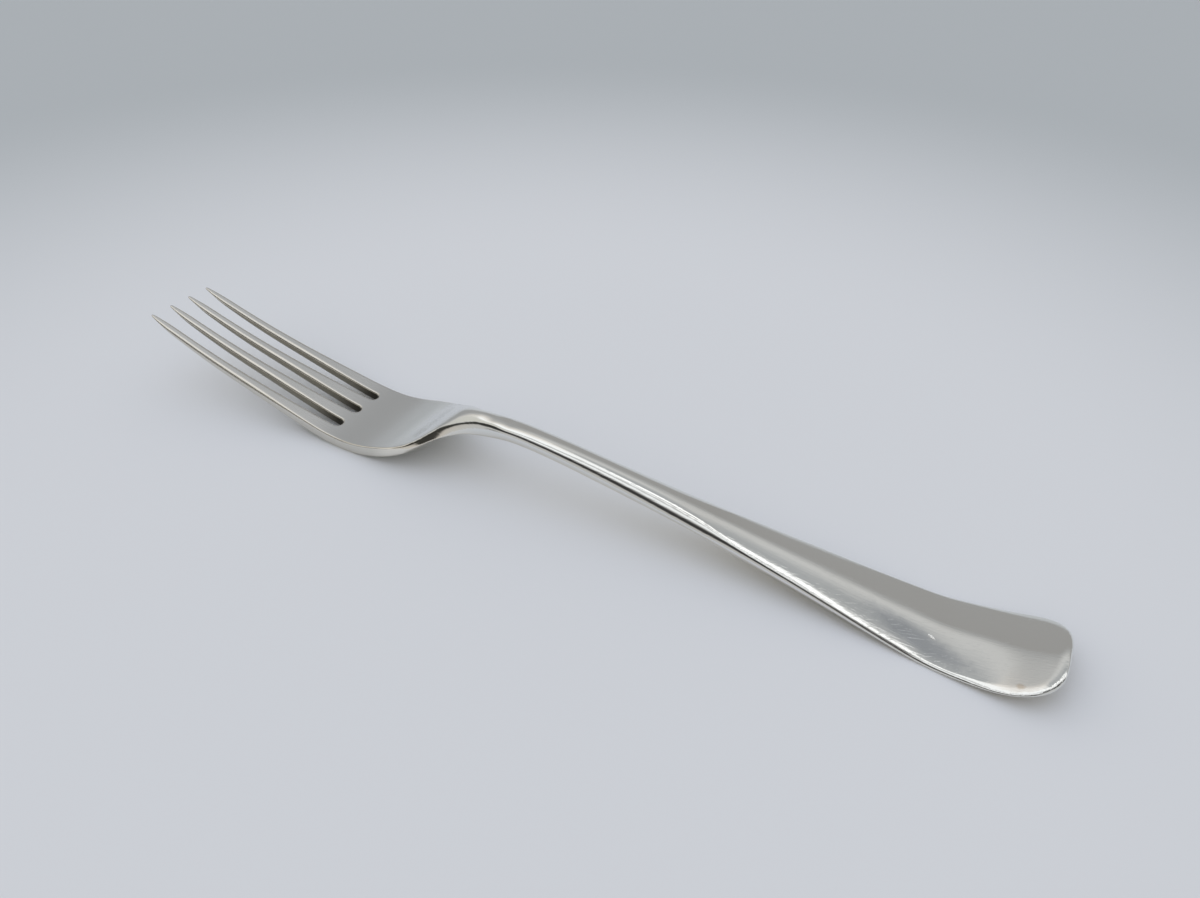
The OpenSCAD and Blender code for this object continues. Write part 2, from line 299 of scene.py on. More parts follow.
def vectors(items, name):
    """A named vector of all points or corners of a mesh, in rows."""
    values = np.empty(len(items) * 3)
    items.foreach_get(name, values)
    return values.reshape(-1, 3)


def note(mesh, name, values):
    """Keeps a value for each point of a mesh as a named attribute."""
    mesh.attributes.new(name, "FLOAT", "POINT").data.foreach_set("value", np.asarray(values, np.float32))


# Nodes

class Field:
    """A node's output that takes plain arithmetic, so that a formula in nodes reads as one."""

    def __init__(self, tree, socket):
        self.tree = tree
        self.socket = socket

    def do(self, operation, *values):
        return calculate(self.tree, operation, self, *values)

    def __add__(self, other):
        return self.do("ADD", other)

    def __sub__(self, other):
        return self.do("SUBTRACT", other)

    def __rsub__(self, other):
        return calculate(self.tree, "SUBTRACT", other, self)

    def __mul__(self, other):
        return self.do("MULTIPLY", other)

    __radd__ = __add__
    __rmul__ = __mul__

    def __truediv__(self, other):
        return self.do("DIVIDE", other)

    def __rtruediv__(self, other):
        return calculate(self.tree, "DIVIDE", other, self)

    def __pow__(self, other):
        return self.do("POWER", other)

    def step(self, start, stop):
        """Soft step from 0 at start to 1 at stop."""
        node = place_node(self.tree, "ShaderNodeMapRange", {"interpolation_type": "SMOOTHSTEP"},
                          Value=self, From_Min=start, From_Max=stop)
        return Field(self.tree, node.outputs["Result"])

    def window(self, start, full, fade, stop):
        """Rises from 0 at start to 1 at full, and falls from 1 at fade to 0 at stop."""
        return self.step(start, full) * (1 - self.step(fade, stop))


def plug(tree, value, socket):
    """Links a field or a socket to a node's input, or sets a plain value there."""
    if isinstance(value, Field):
        tree.links.new(value.socket, socket)
    elif isinstance(value, bpy.types.NodeSocket):
        tree.links.new(value, socket)
    else:
        socket.default_value = value


def calculate(tree, operation, *values):
    """Field from one operation on fields and numbers."""
    node = tree.nodes.new("ShaderNodeMath")
    node.operation = operation
    for value, socket in zip(values, node.inputs):
        plug(tree, value, socket)
    return Field(tree, node.outputs[0])


def place_node(tree, kind, settings=None, **inputs):
    """Adds a node, sets its options, and links or sets its named inputs."""
    node = tree.nodes.new(kind)
    for name, value in (settings or {}).items():
        setattr(node, name, value)
    for name, value in inputs.items():
        plug(tree, value, node.inputs[name.replace("_", " ")])
    return node


# Places of a mix node's colour sockets, whose names repeat for each kind of value
MIX_COLOURS = (6, 7)
MIX_RESULT = 2


def toward(colour, other, share):
    """Colour that turns into another by a share, which is a field."""
    node = place_node(share.tree, "ShaderNodeMix", {"data_type": "RGBA"}, Factor=share)
    for value, k in zip((colour, other), MIX_COLOURS):
        plug(share.tree, value, node.inputs[k])
    return node.outputs[MIX_RESULT]


def distance(tree, vector):
    """Field of a vector's length."""
    node = place_node(tree, "ShaderNodeVectorMath", {"operation": "LENGTH"}, Vector=vector)
    return Field(tree, node.outputs["Value"])


# Lofts: the tines, the neck and the stem, skinned over their stations

def loft_tree():
    """Skin over a row of stations: a flat or ridged front and a flat back with round edges between them."""
    tree = bpy.data.node_groups.new("forged_loft", "GeometryNodeTree")
    sockets = [("Stations", "NodeSocketGeometry"), ("Flat Steps", "NodeSocketInt"),
               ("Edge Steps", "NodeSocketInt"), ("Crest Softness", "NodeSocketFloat"),
               ("Bow Power", "NodeSocketFloat"), ("Finish", "NodeSocketMaterial")]
    for name, kind in sockets:
        tree.interface.new_socket(name, in_out="INPUT", socket_type=kind)
    tree.interface.new_socket("Piece", in_out="OUTPUT", socket_type="NodeSocketGeometry")
    given = {name: tree.nodes.new("NodeGroupInput").outputs[name] for name, kind in sockets}
    flat_steps = Field(tree, given["Flat Steps"])
    edge_steps = Field(tree, given["Edge Steps"])
    soft = Field(tree, given["Crest Softness"])

    quarter = flat_steps + edge_steps
    around = quarter * 4
    count = place_node(tree, "GeometryNodeAttributeDomainSize", Geometry=given["Stations"])
    segments = Field(tree, count.outputs["Point Count"]) - 1
    tube = place_node(tree, "GeometryNodeMeshCylinder", {"fill_type": "NGON"},
                      Vertices=around, Side_Segments=segments)

    # Each point's ring along the fork, and its steps round the ring from the middle of the front
    index = Field(tree, tree.nodes.new("GeometryNodeInputIndex").outputs[0])
    ring = ((index + 0.5) / around).do("FLOOR")
    turn = index - ring * around
    steps = turn.do("PINGPONG", quarter)
    side = turn.do("LESS_THAN", quarter * 2) * 2 - 1
    front = (turn - quarter * 2).do("ABSOLUTE").do("GREATER_THAN", quarter - 0.5)
    inner = (steps / flat_steps).do("MINIMUM", 1)
    rim = ((steps - flat_steps) / edge_steps).do("MAXIMUM", 0)
    angle = (1 - rim) * (math.pi / 2)

    def station(name):
        value = place_node(tree, "GeometryNodeInputNamedAttribute", {"data_type": "FLOAT"}, Name=name)
        pick = place_node(tree, "GeometryNodeSampleIndex", {"data_type": "FLOAT", "domain": "POINT"},
                          Geometry=given["Stations"], Value=value.outputs["Attribute"], Index=ring)
        return Field(tree, pick.outputs["Value"])

    half, depth, power = station("half_width"), station("edge_depth"), 2 / station("squareness")
    across = (half - depth) * inner + depth * angle.do("COSINE").do("MAXIMUM", 0) ** power
    full = angle.do("SINE").do("MAXIMUM", 0) ** power
    share = across / half
    reach = (soft * soft + 1).do("SQRT") - soft
    facet = ((share * share + soft * soft).do("SQRT") - soft) / reach
    bow = station("bow")
    crown = 1 - (1 - bow) * facet - bow * share ** Field(tree, given["Bow Power"])
    above = station("above") + station("crest") * crown
    lift = full * (above * front - station("under") * (1 - front)) - station("sag") * share * share
    height = (station("middle") + lift).do("MAXIMUM", 0)
    point = place_node(tree, "ShaderNodeCombineXYZ", X=station("place"),
                       Y=station("centre") + side * across, Z=height)
    shaped = place_node(tree, "GeometryNodeSetPosition", Geometry=tube.outputs["Mesh"],
                        Position=point.outputs["Vector"])
    noted = place_node(tree, "GeometryNodeStoreNamedAttribute", {"data_type": "FLOAT", "domain": "POINT"},
                       Geometry=shaped.outputs["Geometry"], Name="rim", Value=rim)
    smooth = place_node(tree, "GeometryNodeSetShadeSmooth", Geometry=noted.outputs["Geometry"])
    whole = place_node(tree, "GeometryNodeRealizeInstances", Geometry=smooth.outputs["Geometry"])
    done = place_node(tree, "GeometryNodeSetMaterial", Geometry=whole.outputs["Geometry"],
                      Material=given["Finish"])
    tree.links.new(done.outputs["Geometry"], tree.nodes.new("NodeGroupOutput").inputs["Piece"])
    return tree


# Columns of the stations that aren't lengths
PLAIN_COLUMNS = ("squareness", "bow")


def lofted_piece(name, stations, tree, finish):
    """Piece made by the loft tree from stations given as a dict of columns, in millimetres."""
    mesh = bpy.data.meshes.new(name + "_stations")
    mesh.from_pydata(np.zeros((len(stations["place"]), 3)).tolist(), [], [])
    for column, values in stations.items():
        scale = 1 if column in PLAIN_COLUMNS else MM
        note(mesh, column, np.asarray(values, np.float32) * np.float32(scale))
    piece = add_object(name + "_piece", mesh)
    loft = piece.modifiers.new("loft", "NODES")
    loft.node_group = tree
    values = {"Flat Steps": FLAT_STEPS, "Edge Steps": EDGE_STEPS, "Crest Softness": CREST_SOFT,
              "Bow Power": float(BOW_POWER), "Finish": finish}
    for item in tree.interface.items_tree:
        if item.in_out == "INPUT" and item.name in values:
            loft[item.identifier] = values[item.name]
    shaped = piece.evaluated_get(bpy.context.evaluated_depsgraph_get())
    piece.data = bpy.data.meshes.new_from_object(shaped)
    piece.data.name = name
    piece.modifiers.clear()
    return piece


def shank_stations(start, stop):
    """Stations of the neck or the stem, from its first section to its last."""
    x = even_steps(start, stop)
    thick, half = thickness_at(x), half_width_at(x)
    under = thick * waist_at(x)
    return {"place": x, "centre": 0 * x, "middle": back_at(x) + under,
            "above": thick - under, "under": under,
            "half_width": half, "edge_depth": half * round_at(x), "squareness": square_at(x),
            "crest": ridge_at(x), "bow": bow_at(x), "sag": sag_at(x)}


def tine_stations(row):
    """Stations of one tine, from its round tip to its root. The back rises to the front along the point."""
    nose = x_tip + tip_nose * (1 - np.cos(np.radians(NOSE_TURNS)))
    x = np.concatenate([nose, even_steps(x_tip + tip_nose, x_root)])
    from_tip = x - x_tip
    rounded = np.sqrt(1 - np.clip(1 - from_tip / tip_nose, 0, 1) ** 2)
    point = np.clip(1 - from_tip / point_length, 0, 1)
    width = (tip_blunt + (tine_width(from_tip) - tip_blunt) * (1 - point ** 2)) * rounded
    full = thickness_at(x)
    thick = full * (1 - point ** 2 / 2)
    blend = eased((x_root - x) / TINE_BLEND)
    depth = width / 2 * TINE_ROUND * blend + head_width / 2 * BOWL_ROUND * (1 - blend)
    return {"place": x, "centre": row * tine_pitch(from_tip),
            "middle": back_at(x) + full - thick / 2,
            "above": thick * rounded / 2, "under": thick * rounded / 2,
            "half_width": width / 2, "edge_depth": depth,
            "squareness": BOWL_SQUARE + (TINE_SQUARE - BOWL_SQUARE) * blend,
            "crest": 0 * x, "bow": 0 * x, "sag": 0 * x}


# Plates: the bowl and the handle end, filled inside their outlines

edge_angles = np.radians(90) * np.arange(EDGE_STEPS + 1) / EDGE_STEPS

# Distance at which points of a plan would fall together, and the fill that keeps to the inside of its border
PLAN_CLOSE = 1e-7
FILL_INSIDE = 1


class Plate:
    """Plan of a plate: its border, and points with a share of the full thickness and of the rim at each."""

    def __init__(self):
        self.points = []
        self.full = []
        self.rim = []
        self.border = []
        self.seams = []

    def add(self, x, y, full=1.0, rim=0.0):
        self.points.append((x, y))
        self.full.append(full)
        self.rim.append(rim)
        return len(self.points) - 1

    def edge(self, line, inward, depth, square):
        """Rounded edge along a line: rows of points from the rim inwards. Returns its two end rows."""
        rows = []
        for (x, y), (dx, dy), deep, power in zip(line, inward, depth, 2 / square):
            row = []
            for angle in edge_angles:
                step = deep * (1 - max(math.cos(angle), 0) ** power)
                full = math.sin(angle) ** power
                row.append(self.add(x + dx * step, y + dy * step, full, 1 - angle / edge_angles[-1]))
            rows.append(row)
        self.border += [(a[0], b[0]) for a, b in zip(rows, rows[1:])]
        return rows[0], rows[-1]

    def seam(self, row_a, row_b, outward):
        """Straight face where the plate meets its neighbour, between the end rows of two edges."""
        (ax, ay), (bx, by) = self.points[row_a[-1]], self.points[row_b[-1]]
        steps = np.arange(1, 2 * FLAT_STEPS) / (2 * FLAT_STEPS)
        flat = [self.add(ax + (bx - ax) * u, ay + (by - ay) * u) for u in steps]
        whole = row_a + flat + row_b[::-1]
        self.border += list(zip(whole, whole[1:]))
        self.seams.append((whole, outward))

    def fill(self, inside):
        """Even points over the flat part, wherever the given test says that they lie inside it."""
        low, high = np.min(self.points, 0), np.max(self.points, 0)
        rise = FILL_STEP * math.sqrt(3) / 2
        for k in range(int((high[0] - low[0]) / rise) + 1):
            y = np.arange(low[1], high[1], FILL_STEP) + FILL_STEP / 2 * (k % 2)
            x = np.full(len(y), low[0] + k * rise)
            for px, py in np.stack([x, y], 1)[inside(x, y)]:
                self.add(px, py)


def plate_piece(name, plate, finish):
    """Solid piece over a plate's plan: front and back from the fork's curves, joined along the rim."""
    points = [Vector(p) for p in plate.points]
    made, _, triangles, origin, _, _ = delaunay_2d_cdt(points, plate.border, [], FILL_INSIDE, PLAN_CLOSE)
    source = np.array([ids[0] for ids in origin])
    if len(made) != len(points):
        raise RuntimeError("the plan of %s has points that coincide" % name)
    plan = np.array(plate.points)
    full, rim = np.array(plate.full), np.array(plate.rim)
    x, y = plan.T
    thick, half = thickness_at(x), half_width_at(x)
    share = np.minimum(np.abs(y) / half, 1)
    under = thick * waist_at(x)
    middle = back_at(x) + under - sag_at(x) * share ** 2
    crown = ridge_at(x) * roof(share, bow_at(x))
    top = np.stack([x, y, middle + full * (thick - under + crown)], 1)
    bottom = np.stack([x, y, np.maximum(middle - under * full, 0)], 1)
    below = np.arange(len(plan)) + len(plan)
    below[rim == 1] = np.flatnonzero(rim == 1)
    faces = []
    for a, b, c in (source[list(t)] for t in triangles):
        faces.append((a, b, c))
        faces.append((below[c], below[b], below[a]))
    for row, outward in plate.seams:
        for a, b in zip(row, row[1:]):
            corners = [a, b, below[b], below[a]]
            faces.append(corners[::-1] if outward > 0 else corners)
    faces = [tuple(dict.fromkeys(int(i) for i in f)) for f in faces]
    used = np.unique(np.concatenate([np.array(f) for f in faces]))
    place = np.full(2 * len(plan), -1)
    place[used] = np.arange(len(used))
    mesh = bpy.data.meshes.new(name)
    mesh.from_pydata((np.concatenate([top, bottom])[used] * MM).tolist(), [],
                     [tuple(int(place[i]) for i in f) for f in faces])
    note(mesh, "rim", np.concatenate([rim, rim])[used])
    mesh.shade_smooth()
    mesh.materials.append(finish)
    return add_object(name + "_piece", mesh)


def bowl_plan():
    """Bowl between the tines' roots and the neck, with the round roots of the slots."""
    plate = Plate()
    x = even_steps(x_root, x_neck)
    half = half_width_at(x)
    near, far = (plate.edge(np.stack([x, side * half], 1), np.stack([0 * x, -side + 0 * x], 1),
                            half * round_at(x), square_at(x)) for side in (-1, 1))
    plate.seam(near[1], far[1], 1)
    turns = np.radians(np.linspace(-90, 90, ROOT_POINTS))
    out = np.stack([np.cos(turns), np.sin(turns)], 1)
    depth = np.full(len(turns), head_width / 2 * BOWL_ROUND)
    centres = [row * root_pitch for row in SLOT_ROWS]
    roots = [plate.edge(out * slot_width / 2 + (x_root, y), out, depth, np.full(len(turns), BOWL_SQUARE))
             for y in centres]
    sides = [near[0], *[row for root in roots for row in root], far[0]]
    for k in range(len(TINES)):
        plate.seam(sides[2 * k], sides[2 * k + 1], -1)

    def inside(x, y):
        clear = (x > x_root + FILL_STEP / 2) & (x < x_neck - FILL_STEP / 2)
        clear &= np.abs(y) < half_width_at(x) * (1 - round_at(x)) - FILL_STEP / 2
        for centre in centres:
            clear &= np.hypot(x - x_root, y - centre) > slot_width / 2 + depth[0] + FILL_STEP / 2
        return clear

    plate.fill(inside)
    return plate


def handle_plan():
    """Handle end from the stem to its squarish round end."""
    plate = Plate()
    x_round = x_end - end_round
    straight = even_steps(x_handle, x_round)
    turns = np.radians(np.linspace(0, 90, CORNER_POINTS))[1:]
    x_turn = x_round + end_round * np.sin(turns) ** (2 / end_square)
    y_turn = half_width_at(x_turn) * np.cos(turns).clip(0) ** (2 / end_square)
    side = np.concatenate([np.stack([straight, half_width_at(straight)], 1), np.stack([x_turn, y_turn], 1)])
    gaps = np.hypot(*np.diff(side, axis=0).T)
    travel = np.concatenate([[0], np.cumsum(gaps)])
    even = even_steps(0, travel[-1])
    side = np.stack([np.interp(even, travel, side[:, k]) for k in (0, 1)], 1)
    line = np.concatenate([side * (1, -1), side[-2::-1]])
    tangent = np.gradient(line, axis=0)
    inward = np.stack([-tangent[:, 1], tangent[:, 0]], 1)
    inward[:, 0] *= eased((line[:, 0] - x_handle) / end_round)
    inward /= np.hypot(*inward.T)[:, None]
    depth = half_width_at(line[:, 0]) * round_at(line[:, 0])
    first, last = plate.edge(line, inward, depth, square_at(line[:, 0]))
    plate.seam(first, last, -1)

    def inside(x, y):
        gap = np.min(np.hypot(x[:, None] - line[None, :, 0], y[:, None] - line[None, :, 1]), 1)
        within = np.abs(y) < np.interp(x, side[:, 0], side[:, 1])
        clear = gap > half_width_at(x) * round_at(x) + FILL_STEP / 2
        return within & clear & (x > x_handle + FILL_STEP / 2) & (x < x_end)

    plate.fill(inside)
    return plate


# Seams: how near a point lies to one, and to the same point of the next piece, in metres, and how squarely a
# seam's face looks along the fork
SEAM_CLOSE = 1e-7
SEAM_MATCH = 1e-6
SEAM_FACING = 0.99


def match_seams(pieces):
    """Gives pieces that meet at a seam the same normals there, so that the metal shades as one forging."""
    seams = np.array([x_root, x_neck, x_stem, x_handle]) * MM
    found, kept = {}, []
    for piece in pieces:
        mesh = piece.data
        spots = vectors(mesh.vertices, "co")
        at_seam = np.min(np.abs(spots[:, :1] - seams), 1) < SEAM_CLOSE
        capped = np.array([at_seam[list(p.vertices)].all() and abs(p.normal.x) > SEAM_FACING
                           for p in mesh.polygons])
        keys = {tuple(sorted(k)) for p in np.flatnonzero(capped) for k in mesh.polygons[p].edge_keys}
        border = {k for p in np.flatnonzero(~capped) for k in mesh.polygons[p].edge_keys if k in keys}
        for edge in mesh.edges:
            edge.use_edge_sharp = edge.key in border
        normals = vectors(mesh.corner_normals, "vector")
        owner = np.repeat(np.arange(len(mesh.polygons)), [p.loop_total for p in mesh.polygons])
        corner = np.empty(len(mesh.loops), int)
        mesh.loops.foreach_get("vertex_index", corner)
        shared = np.flatnonzero(at_seam[corner] & ~capped[owner])
        marks = [tuple(np.round(spots[corner[k]] / SEAM_MATCH).astype(int)) for k in shared]
        for mark, k in zip(marks, shared):
            found.setdefault(mark, []).append(normals[k])
        kept.append((mesh, normals, shared, marks))
    for mesh, normals, shared, marks in kept:
        for mark, k in zip(marks, shared):
            total = np.sum(found[mark], 0)
            normals[k] = total / np.linalg.norm(total)
        mesh.normals_split_custom_set(normals.tolist())


# Wear, tarnish with painted shade, and painted reflection that follow the shape

# Stain in the slots, which is tarnish with painted shade, darkest low on the walls and at the roots: its
# reach beside a slot and its start below the front, each with the length over which it fades, in
# millimetres, then its strength at the roots and its loss towards the tips
STAIN_SHADE_REACH = 0.96
STAIN_SHADE_REACH_FADE = 0.6
STAIN_SHADE_DEPTH = 0.3
STAIN_SHADE_DEPTH_FADE = 0.35
STAIN_SHADE_ROOT = 1.15
STAIN_SHADE_LOSS = 0.75

# Upward lean below which a surface starts to count as the underside, and the change in lean until it does so
UNDER_LEAN = 0.25
UNDER_FADE = 0.5


def stain_and_shade_slots(piece):
    """Marks how deep in a slot each point of a tine or the bowl lies, for tarnish and painted shade."""
    x, y, z = vectors(piece.data.vertices, "co").T / MM
    from_tip = np.clip(x - x_tip, 0, tine_length)
    pitch = tine_pitch(from_tip)
    gap = pitch - tine_width(from_tip)
    nearest = np.min([np.hypot(np.clip(x - x_root, 0, None), y - row * pitch) for row in SLOT_ROWS], 0)
    beside = np.clip((STAIN_SHADE_REACH - (nearest - gap / 2)) / STAIN_SHADE_REACH_FADE, 0, 1)
    below = np.clip((back_at(x) + thickness_at(x) - z - STAIN_SHADE_DEPTH) / STAIN_SHADE_DEPTH_FADE, 0, 1)
    old = np.clip(STAIN_SHADE_ROOT - STAIN_SHADE_LOSS * (x_root - x) / tine_length, 0, 1)
    note(piece.data, "recess", beside * below * old)


def note_underside_reflection(piece):
    """Marks how far each point of a piece faces down, where painted reflection makes it duller and yellower.
    """
    lean = vectors(piece.data.vertex_normals, "vector")[:, 2]
    note(piece.data, "under", np.clip((UNDER_LEAN - lean) / UNDER_FADE, 0, 1))


# Finishes

# Marks on the handle, in millimetres: place, reach along it, reach across it and turn in degrees, then how
# ragged the outline is, and how fine
Mark = namedtuple("Mark", "place reach width turn ragged fineness")
TARNISH_SPOT = Mark(Vector((x_end - 6.3, -8.3, 3.0)), 0.9, 0.7, 0, 0.8, 900.0)
# Scuffed patch on the near facet: rougher and more scratched, and darkened as a painted dark reflection
SCUFF_AND_DARK_REFLECTION = Mark(Vector((x_end - 23.2, -5.0, 1.8)), 13.5, 2.9, -14, 0.5, 620.0)
NICK = Mark(Vector((x_end - 21.3, -3.5, 1.7)), 0.9, 0.3, -25, 0.2, 1500.0)
MARK_FADE = (0.3, 1.0)

# Scratches: turn in degrees, fineness, rarity and strength, then how drawn out they are and how soft
Scratches = namedtuple("Scratches", "turn fineness rarity strength")
HAIRS = Scratches(0, 2600.0, 0.5, 0.35)
HANDLE_SCRATCHES = Scratches(-24, 5200.0, 0.62, 0.4)
CROSS_SCRATCHES = Scratches(31, 4200.0, 0.66, 0.3)
SCRATCH_DRAWN = (0.035, 1, 1)
SCRATCH_SOFT = 0.12
SCRATCH_DETAIL = 2.0

# Uneven patterns of the surface: scale and detail, and the mean of them all
SMUDGES = (70.0, 3.0)
FILM = (45.0, 4.0)
GRIME_SHADE_EDGE = (260.0, 2.0)
WAVES = (240.0, 2.0)
DENTS = (1300.0, 3.0)
MARK_DETAIL = 3.0
NOISE_MEAN = 0.5

# Where a finish starts and where it is full: in the film's pattern, on the way to the rim for the painted
# edge reflection, and in the stain with its painted shade
FILM_FADE = (0.45, 0.75)
EDGE_FADE = (0.02, 0.3)
BARE_EDGE_FADE = (0.05, 0.35)
WORN_RIM_FADE = (0.25, 0.6)
GRIME_SHADE_FADE = (0.1, 0.5)

# The same along the fork: shares of the bowl and stem, and millimetres from the neck, the roots and the end
BROAD_SHARES = (0.4, 0.6)
HANDLED_SHARE = 0.6
HEAD_FADE = 3.0
EDGE_BEFORE_NECK = 4.0
EDGE_PAST_NECK = 6.0
GRIME_SHADE_BEFORE_ROOT = 9.0
WORN_END_START = 14.0
WORN_END_FULL = 6.0

# Tones of the metal, of what lies on it, and of the painted reflections and shade on it
SILVER_TONE = (0.795, 0.805, 0.79, 1)
FILM_TONE = (0.75, 0.75, 0.725, 1)
HEAD_TONE = (0.70, 0.715, 0.72, 1)
# Rounded edges, tinted with a painted warm reflection of the tent: darker on the tines, beige on the bowl
TINE_EDGE_REFLECTION_TONE = (0.70, 0.67, 0.60, 1)
BOWL_EDGE_REFLECTION_TONE = (0.88, 0.84, 0.755, 1)
# Painted warm reflection of the table, on faces that look down
UNDERSIDE_REFLECTION_TONE = (0.77, 0.73, 0.65, 1)
# Painted dark reflection on the handle's scuffed patch
DARK_REFLECTION_TONE = (0.46, 0.48, 0.50, 1)
SPOT_TONE = (0.50, 0.38, 0.24, 1)
# Nick: a real dent, painted lighter as a glint
NICK_GLINT_TONE = (0.95, 0.95, 0.93, 1)
# Tarnish in the slots, with painted shade that is darkest at the roots
GRIME_SHADE_TONE = (0.033, 0.026, 0.012, 1)
TINE_GRIME_SHADE_TONE = (0.112, 0.095, 0.054, 1)

# How far each covers what lies under it, how ragged the grime with its painted shade is, and how much less
# of it the tines have
FILM_COVER = 0.5
HEAD_COVER = 0.8
EDGE_REFLECTION_COVER = 0.9
UNDERSIDE_REFLECTION_COVER = 0.85
DARK_REFLECTION_COVER = 0.75
SPOT_COVER = 0.45
GRIME_SHADE_COVER = 0.75
GRIME_SHADE_RAGGED = 0.35
TINE_GRIME_SHADE_LOSS = 0.25

# Roughness of the polished metal, and what the softer tines and each kind of wear add
POLISH = 0.035
MATT_TINES = 0.14
SMUDGE_ROUGH = 0.035
SCRATCH_ROUGH = 0.12
SCUFF_ROUGH = 0.06
GRIME_ROUGH = 0.3
SPOT_ROUGH = 0.3
NICK_ROUGH = 0.5

# Relief: its strength and depth, and how many times that depth the waves, dents and nick have
RELIEF_STRENGTH = 0.35
RELIEF_DEPTH = 0.02 * MM
WAVE_DEPTH = 1.2
DENT_DEPTH = 8
NICK_DEPTH = 8


def scratch_group():
    """Fine straight scratches, all in one direction: a mask of their lines."""
    tree = bpy.data.node_groups.new("scratches", "ShaderNodeTree")
    for name, kind in (("Place", "NodeSocketVector"), ("Turn", "NodeSocketFloat"),
                       ("Fineness", "NodeSocketFloat"), ("Rarity", "NodeSocketFloat")):
        tree.interface.new_socket(name, in_out="INPUT", socket_type=kind)
    tree.interface.new_socket("Lines", in_out="OUTPUT", socket_type="NodeSocketFloat")
    given = tree.nodes.new("NodeGroupInput").outputs
    turned = place_node(tree, "ShaderNodeVectorRotate", {"rotation_type": "Z_AXIS"}, Vector=given["Place"],
                        Angle=given["Turn"])
    drawn = place_node(tree, "ShaderNodeVectorMath", {"operation": "MULTIPLY"})
    plug(tree, turned.outputs["Vector"], drawn.inputs[0])
    plug(tree, SCRATCH_DRAWN, drawn.inputs[1])
    grain = place_node(tree, "ShaderNodeTexNoise", Vector=drawn.outputs["Vector"], Scale=given["Fineness"],
                       Detail=SCRATCH_DETAIL)
    kept = place_node(tree, "ShaderNodeMapRange", Value=grain.outputs["Fac"], From_Min=given["Rarity"],
                      From_Max=Field(tree, given["Rarity"]) + SCRATCH_SOFT)
    tree.links.new(kept.outputs["Result"], tree.nodes.new("NodeGroupOutput").inputs["Lines"])
    return tree


